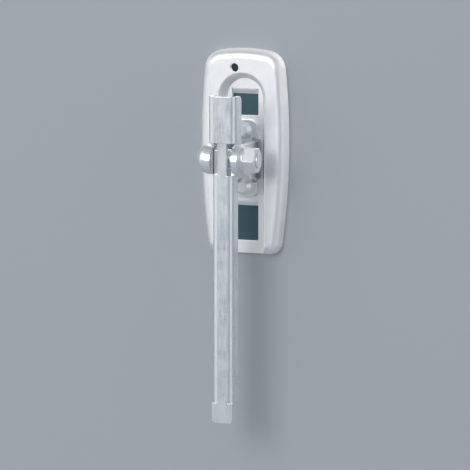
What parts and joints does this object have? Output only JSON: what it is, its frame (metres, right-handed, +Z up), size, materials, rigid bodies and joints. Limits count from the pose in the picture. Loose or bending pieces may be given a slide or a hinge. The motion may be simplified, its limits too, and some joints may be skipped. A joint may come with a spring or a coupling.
{
  "type": "pegboard tool holder",
  "caption": "Barrel-shaped pressed plate with hook tongues for square-holed tool panels; a folded channel arm hangs before it, clamped between the ears of a riveted saddle by a cross screw.",
  "frame": {"origin": "on the plate's back face, on its centre line, midway between the two panel holes that the hooks use", "axes": "+X to the right seen from the front, +Y into the panel, +Z up"},
  "size_m": [0.0304, 0.0303, 0.1241],
  "materials": {
    "zinc_sheet": "satin zinc plate on pressed sheet steel, with a faint rainbow tint",
    "zinc_arm": "bright zinc plate on folded sheet steel, faintly blue",
    "zinc_fastener": "bright zinc plate on turned and headed steel"
  },
  "bodies": {
    "root": {"back_plate": "zinc_sheet", "saddle_bracket": "zinc_arm", "drop_arm": "zinc_arm", "cross_screw": "zinc_fastener", "nut_washer": "zinc_fastener", "hex_nut": "zinc_fastener", "spacer_sleeve": "zinc_fastener", "upper_rivet": "zinc_fastener", "lower_rivet": "zinc_fastener"}
  },
  "joints": []
}
